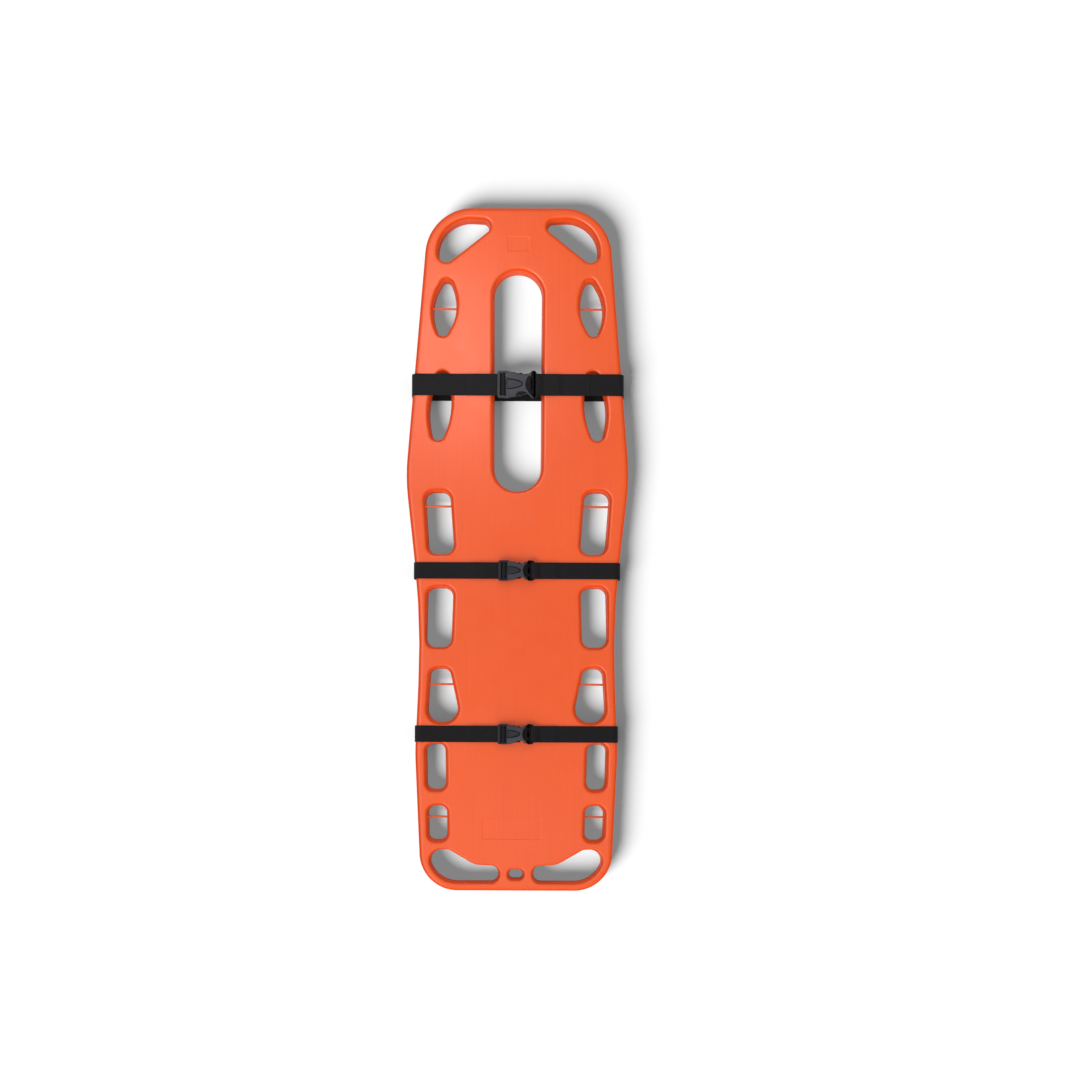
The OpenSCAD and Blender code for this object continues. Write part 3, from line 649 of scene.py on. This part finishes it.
class Strap:
    """Places along and across one strap and its buckle, worked out from its sizes as in the frame."""

    def __init__(self, i):
        self.name, self.y, self.w = NAMES[i], STRAP_Y[i], STRAP_W[i]
        self.bw, self.sway = BUCKLE_W[i], WEB_SWAY[i]
        self.left = BUCKLE_X - BUCKLE_L[i] / 2
        self.right = BUCKLE_X + BUCKLE_L[i] / 2
        self.bar = self.left + OUTER_BAR + BAR_SLOT
        self.body = self.bar + MID_BAR + BAR_SLOT
        self.plug = self.right - PLUG_LEN
        self.mouth = self.plug - MOUTH_GAP
        self.window = self.mouth - 0.55 * (self.mouth - self.body)
        self.body_half = self.bw / 2 - 3
        self.neck_half = self.bw / 2 - 10.5
        self.wall_in = self.body_half - 3.5
        self.arm_out = self.wall_in - 3.2 - 0.5
        self.hinge_y = self.arm_out - 2.1
        self.hinge_x = self.front(self.hinge_y) + 4.5
        self.depth, self.necks = NOSE[i], NECK[i]
        low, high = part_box(self.name + "_web")
        self.half = float(max(-low.x, high.x)) / MM - WEB_T

    def front(self, y):
        """The solid plug's curved front: a parabola across the strap."""
        return self.plug + 11 * (2 * np.asarray(y) / self.bw) ** 2

    def nose(self, y):
        """The plug's curved front as it is seen, deeper than the solid's on the chest buckle."""
        return self.plug + self.depth * (2 * np.asarray(y) / self.bw) ** 2


straps = [Strap(i) for i in range(3)]
for s in straps:
    print(s.name, "half loop", round(s.half, 1), "mm, buckle from", s.left, "to", s.right)


# %% Ribbon
def running_length(points):
    """How far along a line of points each of them lies."""
    return np.concatenate([[0], np.cumsum(np.linalg.norm(np.diff(points, axis=0), axis=1))])


def resampled(points, step):
    """Points at even steps along a route, by its running length."""
    length = running_length(points)
    n = max(2, int(length[-1] / step))
    t = np.linspace(0, length[-1], n + 1)
    return np.stack([np.interp(t, length, points[:, k]) for k in (0, 1)], 1), t


def ease(p, q, n=10):
    """A rise from p to q that starts and ends level: half a cosine wave."""
    t = np.linspace(0, 1, n + 1)
    rise = (1 - np.cos(math.pi * t)) / 2
    return np.stack([p[0] + (q[0] - p[0]) * t, p[1] + (q[1] - p[1]) * rise], 1)


def ribbon_section(w, t, n=14):
    """A flat section w wide and t thick with rounded selvedges, as (across, out) pairs."""
    r = 0.42 * t
    h = w / 2
    top = np.column_stack([np.linspace(h - r, r - h, n), np.full(n, t)])
    low = np.column_stack([np.linspace(r - h, h - r, n), np.zeros(n)])
    turn = [arc(h - r, r, r, -90, 0, 3)[1:], arc(h - r, t - r, r, 0, 90, 3)[:-1]]
    back = [arc(r - h, t - r, r, 90, 180, 3)[1:], arc(r - h, r, r, 180, 270, 3)[:-1]]
    return np.concatenate([low, *turn, top, *back])


def ribbon(route, y, w, t, step=1.5, sway=0.0):
    """The section carried along a route in x and z; its thickness lies to the left of the route.
    Below the board's top it shifts towards the feet in proportion to its depth, by sway in all.
    Also gives each point's place across and along the webbing, for the weave."""
    line, run = resampled(np.asarray(route, float), step)
    d = np.gradient(line, axis=0)
    d /= np.linalg.norm(d, axis=1)[:, None]
    left = np.stack([-d[:, 1], d[:, 0]], 1)
    section = ribbon_section(w, t)
    xz = line[:, None, :] + left[:, None, :] * section[None, :, 1:2]
    shift = sway * np.clip((Z_TOP - line[:, 1]) / BOARD_T, 0, 1)
    verts = np.stack([xz[..., 0], y - shift[:, None] + section[:, 0], xz[..., 1]], -1)
    n, m = verts.shape[:2]
    faces = [f[::-1] for f in wall_faces(n, m)]
    faces += [list(range(m)), list(range((n - 1) * m, n * m))[::-1]]
    across, along = np.broadcast_to(section[:, 0], (n, m)), np.broadcast_to(run[:, None], (n, m))
    weave = np.stack([across, along], -1)
    return verts.reshape(-1, 3), faces, weave.reshape(-1, 2)


def web_piece(name, band, body, replaces):
    """A ribbon as one webbing piece with its weave map, in place of a solid."""
    verts, faces, weave = band
    mesh = bpy.data.meshes.new(name)
    mesh.from_pydata((verts * MM).tolist(), [], faces)
    layer = mesh.uv_layers.new(name="weave")
    index = np.zeros(len(mesh.loops), np.int32)
    mesh.loops.foreach_get("vertex_index", index)
    layer.data.foreach_set("uv", weave[index].astype(np.float32).ravel())
    mesh.polygons.foreach_set("use_smooth", np.full(len(mesh.polygons), True))
    mesh.materials.append(web_finish)
    piece = new_object(name, mesh)
    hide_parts(*replaces)
    if body:
        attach(piece, body)
    print(name, len(mesh.vertices), "points")
    return piece


# %% Strap routes
def main_route(s):
    """From the split on the right, down the side, under the board, up the left side and through
    the ladder."""
    r1 = EDGE_R + SEAT_GAP
    r2 = UNDER_EDGE_R + SEAT_GAP
    bar_l, bar_r = s.bar, s.bar + MID_BAR
    tail_x = bar_r - TAIL_L
    zb = Z_BAR + BAR_T
    return np.concatenate([
        [(SPLIT_X, Z_WEB)],
        arc(s.half - r1, Z_TOP - EDGE_R, r1, 90, 0, 12),
        arc(s.half - r2, Z_UNDER + UNDER_EDGE_R, r2, 0, -90, 12),
        arc(-s.half + r2, Z_UNDER + UNDER_EDGE_R, r2, -90, -180, 12),
        arc(-s.half + r1, Z_TOP - EDGE_R, r1, 180, 90, 12),
        ease((tail_x - 20, Z_WEB), (tail_x - 2, Z_WEB2)),
        [(bar_l - 2.2, Z_WEB2)],
        arc(bar_l - 2.2, Z_WEB2 + 1.9, 1.9, -90, 0, 5)[1:],
        arc(bar_l + 0.6, zb - 0.6, 0.9, 180, 90, 4),
        arc(bar_r - 0.6, zb - 0.6, 0.9, 90, 0, 4),
        arc(bar_r - 0.6, Z_WEB + WEB_T + 0.9, 0.9, 0, -90, 4),
        [(tail_x, Z_WEB + WEB_T)],
    ])


def plug_route(s):
    """From the end of the sewn tab to the plug, round its bar, and back out over the tab to the split."""
    bar_l, bar_r = s.right - PLUG_BAR, s.right
    tab_x = bar_r + TAB_L
    zb = Z_BAR + BAR_T
    return np.concatenate([
        [(tab_x, Z_WEB + WEB_T)],
        arc(bar_l + 0.6, Z_WEB + WEB_T + 0.9, 0.9, -90, -180, 4),
        arc(bar_l + 0.6, zb - 0.6, 0.9, 180, 90, 4),
        arc(bar_r - 0.6, zb - 0.6, 0.9, 90, 60, 3),
        ease((bar_r + 2, zb - 0.2), (bar_r + 18, Z_WEB2)),
        ease((tab_x + 1, Z_WEB2), (tab_x + 18, Z_WEB)),
        [(SPLIT_X, Z_WEB)],
    ])


for s in straps:
    web_piece(s.name + "_webbing", ribbon(main_route(s), s.y, s.w, WEB_T, sway=s.sway),
              "board", [s.name + "_web"])
    short_web = web_piece(s.name + "_plug_webbing", ribbon(plug_route(s), s.y, s.w, WEB_T),
                          None, [s.name + "_web_plug_side"])
    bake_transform(short_web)

# %% [markdown]
# The buckles. Each is made of plates and blocks cut to a plan, as an injection mould would form them,
# and a bevel then softens every edge. The receptacle's top is the only curved face: a dome with a
# thumb hollow.

# %% Plan blocks
def prism(plan, z0, z1):
    """A closed block: a plan of (x, y) corners, anticlockwise, between two heights."""
    plan = np.asarray(plan, float)
    n = len(plan)
    v = np.concatenate([np.column_stack([plan, np.full(n, z)]) for z in (z0, z1)])
    faces = wall_faces(2, n) + [list(range(n))[::-1], list(range(n, 2 * n))]
    return v, faces


def block(x0, x1, y0, y1, z0, z1):
    """A closed box between two places along each axis."""
    return prism([(x0, y0), (x1, y0), (x1, y1), (x0, y1)], z0, z1)


def mirrored(plan, side, clockwise=False):
    """A plan drawn on the side towards the head, kept there (side 1) or mirrored to the other (side -1).
    Either way it comes out anticlockwise; clockwise says that it was drawn the other way round."""
    plan = [(x, y * side) for x, y in plan]
    return plan[::-1] if clockwise == (side > 0) else plan


def both(half):
    """A half plan above the middle line, mirrored and put in anticlockwise order."""
    half = [tuple(p) for p in half]
    full = half + [(x, -y) for x, y in half[::-1] if y > 1e-6]
    return full[::-1]


def across(parts, y):
    """Parts drawn about the middle of a strap, moved to it."""
    return [(np.asarray(v, float) + [0, y, 0], f) for v, f in parts]


# %% Receptacle
SIDE_PLAY = 0.7
LEDGE_NOTCH = {"chest": 5, "hip": -1, "leg": -1}
LID_H = 13.6
LID_FALL = 2.6
LID_RIM_R = 1.3
HOLLOW_DEPTH = 2.2
HOLLOW_EASE = 2.6
Z_SHELF = Z_ARM - SLIDE_GAP
Z_ROOF = Z_ARM + ARM_T + SLIDE_GAP
LID_PARTS = (lid_finish, hollow_rim_painted_shade_finish, hollow_painted_shade_finish)


def half_plan(s):
    """Half width of the receptacle at places along it."""
    xs = [s.left, s.left + 1.2, s.left + 4, s.body, s.window - 6, s.window + 1, s.window + 8,
          s.mouth + 1, s.mouth + 4]
    hs = [s.bw / 2 - 4, s.bw / 2 - 1.2, s.bw / 2, s.bw / 2, s.body_half, s.body_half, s.body_half - 3,
          s.neck_half + 1, s.neck_half]
    return xs, hs


def lid_edge(s, neck, h, u):
    """The lid's long edge on one side, at even steps u of its length: the shoulder, the bite that
    bares the release arm down to the neck, and the horn that follows the plug's curved front."""
    ys = np.linspace(neck + 2, h - 2.4, 6)
    path = [(s.body, h - 0.2), (s.window - 10, h - 0.5), (s.window - 2, h - 2.2), (s.window + 1, h - 4)]
    path += [(s.window + 4.5, neck + 3.2), (s.window + 9, neck + 0.8), (s.window + 15, neck),
             (s.mouth - 2.5, neck + 0.5)]
    path += [(float(s.nose(y)) - MOUTH_GAP - 5.2, y) for y in ys]
    path += [(float(s.nose(h - 1.6)) - MOUTH_GAP, h - 1.6)]
    path = np.array(path, float)
    length = running_length(path)
    return [np.interp(u * length[-1], length, path[:, k]) for k in (0, 1)]


def lid(s):
    """The domed top plate, as a grid. Along it u runs from the ladder to the mouth, across it v from
    edge to edge. With the long edge at (X, Y) and the middle line at C for the same u, a point is
    x = C + (X - C) v^2, y = Y v, so the last row is the parabola of the mouth. Height falls off with
    y^2, a quarter circle rounds the rim, and a hollow for the thumb, bounded by half an ellipse, is
    sunk behind the mouth. Also tells for each face of the top whether it is plain lid 0, rim 1 with a
    near-black painted shade, or hollow 2 with a darker painted shade."""
    u = np.linspace(0, 1, 85)
    v = np.sin(np.linspace(-1, 1, 71) * math.pi / 2)
    h = s.bw / 2
    x, y, reach = np.zeros((3, len(u), len(v)))
    for neck, edge, side in zip(s.necks, (h - 1.5, h), (v >= 0, v < 0)):
        edge_x, edge_y = lid_edge(s, min(neck, edge - 6.5), edge, u)
        part = np.minimum(1, (edge_x - s.body) / (s.mouth + 2.5 - s.body)) * 0.96 + 0.04 * u
        middle = s.body + (s.mouth - s.body) * part
        x[:, side] = middle[:, None] + (edge_x - middle)[:, None] * v[side] ** 2
        y[:, side] = edge_y[:, None] * v[side]
        reach[:, side] = edge_y[:, None] * (1 - np.abs(v[side]))
    end_x, end_y = x[-1, 0], -y[-1, 0]
    mouth = s.mouth + (end_x - s.mouth) * (y / end_y) ** 2
    z = Z_TOP + LID_H - LID_FALL * (y / h) ** 2
    long, wide = 0.87 * (s.mouth - s.body), 0.42 * h
    a, b = (x - s.body) / long, y / wide
    slope = 2 * np.sqrt((a / long) ** 2 + (b / wide) ** 2) + 1e-6
    sunk = np.clip((1 - a * a - b * b) / slope, 0, 12) * np.clip((x - s.body) / 2, 0, 1)
    z = z - HOLLOW_DEPTH * (1 - np.exp(-(sunk / HOLLOW_EASE) ** 2))
    # Painted shade: faces on the hollow's rim (1) and on its floor (2) get the darker finishes.
    tone = np.where(sunk > 0.2, np.where(sunk < 2.4 + 2.8 * a, 1, 2), 0)
    r = LID_RIM_R
    rim = np.clip(np.minimum(reach, mouth - x), 0, r)
    z = z - (r - np.sqrt(r * r - (r - rim) ** 2))
    low = np.full_like(z, Z_ROOF)
    top = np.stack([x, y, z], -1).reshape(-1, 3)
    under = np.stack([x, y, low], -1).reshape(-1, 3)
    n = len(v)
    grid = wall_faces(len(u), n, closed=False)
    k = len(top)
    border = list(range(n)) + [j * n + n - 1 for j in range(1, len(u))]
    border += [(len(u) - 1) * n + i for i in range(n - 2, -1, -1)]
    border += [j * n for j in range(len(u) - 2, 0, -1)]
    sides = [[i, j, j + k, i + k] for i, j in zip(border, border[1:] + border[:1])]
    faces = [f[::-1] for f in grid] + [[i + k for i in f] for f in grid] + sides
    return np.concatenate([top, under]), faces, tone[:-1, :-1].ravel()


def receptacle(s):
    """Ladder bars and rails, side cheeks with a catch each, the floor, and the ledge behind the ladder."""
    inner = s.w / 2 + SIDE_PLAY
    xs, hs = half_plan(s)
    plates = [block(s.left, s.left + OUTER_BAR, -inner - 1, inner + 1, Z_OUTER_BAR, Z_OUTER_BAR + BAR_T),
              block(s.bar, s.bar + MID_BAR, -inner - 1, inner + 1, Z_BAR, Z_BAR + BAR_T)]
    notch = LEDGE_NOTCH[s.name]
    plates.append(block(s.body - 2.3, s.body + 1, -inner - 1, inner - notch, Z_WEB, Z_BAR + BAR_T))
    for side in (1, -1):
        rail = [(s.left, inner), (s.left, hs[0]), (s.left + 1.2, hs[1]), (s.left + 4, hs[2]),
                (s.body, hs[3]), (s.body + 3, hs[3] - 0.6), (s.body + 3, inner)]
        plates.append(prism(mirrored(rail, side, clockwise=True), Z_WEB, Z_RAIL))
        cheek = [(s.body, s.wall_in), (s.window, s.wall_in), (s.window, s.body_half - 0.2),
                 (s.window - 6, s.body_half - 0.2), (s.body, s.bw / 2 - 0.4)]
        plates.append(prism(mirrored(cheek, side), Z_WEB, Z_ROOF + 0.6))
        catch = sorted([side * (s.wall_in - 3.2), side * (s.wall_in + 0.5)])
        plates.append(block(s.window - 3.5, s.window, *catch, Z_SHELF - 0.3, Z_ROOF + 0.3))
    inside_x = [x for x in xs if s.body < x < s.mouth + 2]
    floor_plan = [(s.body, s.bw / 2 - 0.4)]
    floor_plan += [(x, float(np.interp(x, xs, hs)) - 0.2) for x in inside_x]
    floor_plan += [(s.mouth + 4 * t * t, s.neck_half * t) for t in (1, 0.8, 0.6, 0.4, 0.2)]
    plates.append(prism(both(floor_plan), Z_WEB, Z_SHELF))
    plates.append(block(s.body, s.body + 2.5, -s.wall_in - 1, s.wall_in + 1, Z_WEB, Z_ROOF + 0.6))
    plates.append(block(s.body + 1, s.mouth - 6, -1.2, 1.2, Z_SHELF - 0.3, Z_ROOF + 0.3))
    return plates


# The frame takes the darker painted-shade finish; the lid takes its lighter one, with painted shade in its
# hollow.
for s in straps:
    make_piece(s.name + "_receptacle_frame", across(receptacle(s), s.y), receptacle_painted_shade_finish, "board",
               [s.name + "_receptacle"], bevel=0.5)
    points, faces, tone = lid(s)
    piece = make_piece(s.name + "_receptacle_lid", across([(points, faces)], s.y), LID_PARTS[0], "board",
                       merge=0)
    for finish in LID_PARTS[1:]:
        piece.data.materials.append(finish)
    tone = np.append(tone, np.zeros(len(faces) - len(tone), int)).astype(np.int32)
    piece.data.polygons.foreach_set("material_index", tone)


# %% [markdown]
# The plug: a flange with a curved front and a slot for the webbing, and two guide tines.
# The flange is two plates with blocks between them, which leaves a socket on each side for a release arm.

# %% Plug and arms
SOCKET_R = 2.8
TOP_PLATE_REACH = 2.4


def plug(s):
    """Two flange plates with blocks between them, cheeks beside the webbing's slot, the bar and
    two tines."""
    inner = s.w / 2 + SIDE_PLAY
    slot_x = s.right - PLUG_BAR - BAR_SLOT
    h = s.bw / 2
    flange_z = Z_BAR + BAR_T + SEAT_GAP + WEB_T + 1
    between = (Z_ARM - 1, Z_ARM + ARM_T + 1)
    front = [(float(s.nose(y)), float(y)) for y in np.linspace(0.4, h - 1, 12)]
    front.append((float(s.nose(h)) + 1, h))
    plates = [prism(both(front + [(slot_x, h)]), Z_WEB, Z_SHELF),
              prism(both(front + [(slot_x + TOP_PLATE_REACH, h)]), Z_ROOF, flange_z)]
    y_in, y_out = s.hinge_y - SOCKET_R - 1, s.hinge_y + SOCKET_R
    middle = [(float(s.front(y)) + 0.3, float(y)) for y in np.linspace(0.4, y_in, 5)]
    plates.append(prism(both(middle + [(slot_x, y_in)]), *between))
    plates.append(block(s.hinge_x + SOCKET_R + 0.2, slot_x, -h + 1.5, h - 1.5, *between))
    for side in (1, -1):
        outer = [(float(s.nose(y)) + 0.3, float(y)) for y in np.linspace(y_out, h - 1, 4)]
        outer += [(slot_x, h - 0.3), (slot_x, y_out)]
        plates.append(prism(mirrored(outer, side, clockwise=True), *between))
        cheek = [(slot_x - 1, inner), (slot_x - 1, h), (s.right - 8, h), (s.right - 1, s.w / 2 + 3.2),
                 (s.right, s.w / 2 + 2.2), (s.right, inner)]
        plates.append(prism(mirrored(cheek, side, clockwise=True), Z_WEB, flange_z))
        tine = sorted([side * 1.6, side * 4.4])
        plates.append(block(s.window - 12, float(s.front(5)) + 3, *tine, Z_ARM, Z_ARM + ARM_T))
    plates.append(block(s.right - PLUG_BAR, s.right, -inner - 1, inner + 1, Z_BAR, Z_BAR + BAR_T))
    return plates


def arm(s, side):
    """Root, shank with a finger button that bulges as half a sine wave, and a hook behind the catch."""
    button_start, button_end = s.window + 2.5, s.mouth - 2
    tip = s.window - 4
    reach = s.wall_in - SLIDE_GAP
    out = s.arm_out
    bulge = s.bw / 2 - 4.5 - out
    plan = [(float(x), float(y)) for x, y in arc(s.hinge_x, s.hinge_y, 2.5, -60, 60, 8)]
    for k in np.linspace(1, 0, 17):
        along = button_start + (button_end - button_start) * k
        plan.append((float(along), float(out + bulge * math.sin(math.pi * k))))
    plan += [(tip, out), (tip, reach), (tip - 1.5, reach), (tip - 4, out - 1.5), (tip - 4, out - 4.2)]
    return [prism(mirrored(plan, side), Z_ARM, Z_ARM + ARM_T)]


for s in straps:
    make_piece(s.name + "_plug_body_piece", across(plug(s), s.y), plug_finish, s.name + "_plug_body",
               [s.name + "_plug"], bevel=0.5)
    for end, side in (("head", 1), ("foot", -1)):
        make_piece(f"{s.name}_arm_{end}_piece", across(arm(s, side), s.y), plug_finish,
                   f"{s.name}_arm_{end}_body", [f"{s.name}_arm_{end}"], bevel=0.6)

# %% [markdown]
# The remaining solids keep their own shape and take a finish: the clip pins, the port plugs and the foam.

# %% Finishes for the solids that stay
for name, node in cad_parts.items():
    if name.startswith("pin_"):
        finish = pin_finish
    elif name == "foam_core":
        finish = foam_finish
    elif name == "foam_port_plugs":
        finish = plug_port_finish
    else:
        continue
    node.data.materials.clear()
    node.data.materials.append(finish)

# %% [markdown]
# The stage: a white floor that keeps the shadow, and light as in a product photograph.
# A low sun from the lower left throws the long soft shadow on the floor, and a weaker one lights the
# board, which stands in even light from a wide dome. Two suns near the horizon fill the walls that
# face the head and the feet. Four panels give the gloss, one of them the sheen beside the chest.

# %% Floor and light
FLOOR_HALF = 6.0
FLOOR_Z = -0.0003


def floor():
    """A white sheet just below the runners. The camera sees it white, and other rays see it grey."""
    mesh = bpy.data.meshes.new("floor")
    corners = [(x * FLOOR_HALF, y * FLOOR_HALF, FLOOR_Z) for x, y in ((-1, -1), (1, -1), (1, 1), (-1, 1))]
    mesh.from_pydata(corners, [], [(0, 1, 2, 3)])
    plane = new_object("floor", mesh)
    material, nodes, links, shader = new_material("white floor")
    shader.inputs["Base Color"].default_value = (0.8, 0.8, 0.8, 1)
    shader.inputs["Roughness"].default_value = 0.9
    shader.inputs["Specular IOR Level"].default_value = 0.0
    white = nodes.new("ShaderNodeBsdfDiffuse")
    white.inputs["Color"].default_value = (1, 1, 1, 1)
    lift = nodes.new("ShaderNodeEmission")
    lift.inputs["Strength"].default_value = 0.04
    total = nodes.new("ShaderNodeAddShader")
    links.new(white.outputs[0], total.inputs[0])
    links.new(lift.outputs[0], total.inputs[1])
    mix = nodes.new("ShaderNodeMixShader")
    links.new(nodes.new("ShaderNodeLightPath").outputs["Is Camera Ray"], mix.inputs[0])
    links.new(shader.outputs[0], mix.inputs[1])
    links.new(total.outputs[0], mix.inputs[2])
    links.new(mix.outputs[0], nodes["Material Output"].inputs["Surface"])
    mesh.materials.append(material)
    return plane


def lamp(name, kind, place, target, strength, size, only=()):
    """A lamp at a place, turned to a target. With only, it reaches just those objects."""
    data = bpy.data.lights.new(name, kind)
    data.energy = strength
    if kind == "SUN":
        data.angle = math.radians(size)
    else:
        data.shape = "RECTANGLE"
        data.size, data.size_y = size
    light = new_object(name, data)
    light.location = place
    light.rotation_euler = (Vector(target) - Vector(place)).to_track_quat("-Z", "Y").to_euler()
    if only:
        group = bpy.data.collections.new(name + " reaches")
        for piece in only:
            group.objects.link(piece)
        light.light_linking.receiver_collection = group
    return light


pieces = [o for o in bpy.data.objects if o.type == "MESH"]
ground = floor()
board.visible_diffuse = False
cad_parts["foam_core"].visible_diffuse = False
world = bpy.data.worlds.new("pale sky")
world.use_nodes = True
world.node_tree.nodes["Background"].inputs["Color"].default_value = (1, 1, 1, 1)
world.node_tree.nodes["Background"].inputs["Strength"].default_value = 0.19
bpy.context.scene.world = world
KEY_FROM = (-0.465, -0.485, 0.51)
ORIGIN = (0, 0, 0)
lamp("floor key", "SUN", KEY_FROM, ORIGIN, 4.1, 34, [ground])
lamp("board key", "SUN", KEY_FROM, ORIGIN, 1.19, 30, pieces)
fills = [
    ("dome", (0, 0, 3), 1.4, 150),
    ("head wall fill", (0.35, -0.9, 0.3), 1.5, 40),
    ("foot wall fill", (0.1, 0.9, 0.32), 0.9, 40),
]
for name, place, strength, size in fills:
    lamp(name, "SUN", place, ORIGIN, strength, size, pieces).visible_glossy = False
gloss = [
    ("sky panel", (0, 0.3, 3.0), ORIGIN, 5.5, (2.4, 3.2)),
    ("sheen strip", (-0.17, 0.56, 0.6), (-0.16, 0.46, 0), 2.0, (0.2, 0.4)),
    ("foot sheen", (0, -0.76, 0.8), (0, -0.7, 0), 0.8, (0.4, 0.3)),
    ("side strip", (-1.7, 0.1, 2.4), ORIGIN, 40, (2.4, 0.5)),
]
for name, place, target, strength, size in gloss:
    lamp(name, "AREA", place, target, strength, size, pieces).visible_diffuse = False

# %% [markdown]
# The camera looks straight down from 4.4 m, over a point towards the feet, as the visible walls of
# the openings show. The lens shift puts the board where the photograph has it, without tilting the view.

# %% Camera and colour
CAMERA_H = 4.4
SCALE_Z = 0.028
MM_PER_PX = 2.32
FRAME_PX = 1080
MIDDLE_PX = (516.4, 719.8)
BOARD_MIDDLE_ROW = 550
SENSOR_MM = 36
ROLL = 0.25
camera_data = bpy.data.cameras.new("camera")
camera_data.sensor_width = SENSOR_MM
camera_data.lens = SENSOR_MM * CAMERA_H / (FRAME_PX * MM_PER_PX * MM)
camera_data.shift_x = (FRAME_PX / 2 - MIDDLE_PX[0]) / FRAME_PX
camera_data.shift_y = (MIDDLE_PX[1] - FRAME_PX / 2) / FRAME_PX
camera = new_object("camera", camera_data)
camera.location = (0, -(MIDDLE_PX[1] - BOARD_MIDDLE_ROW) * MM_PER_PX * MM, SCALE_Z + CAMERA_H)
camera.rotation_euler = (0, 0, math.radians(ROLL))
bpy.context.scene.camera = camera
bpy.context.scene.view_settings.view_transform = "Standard"
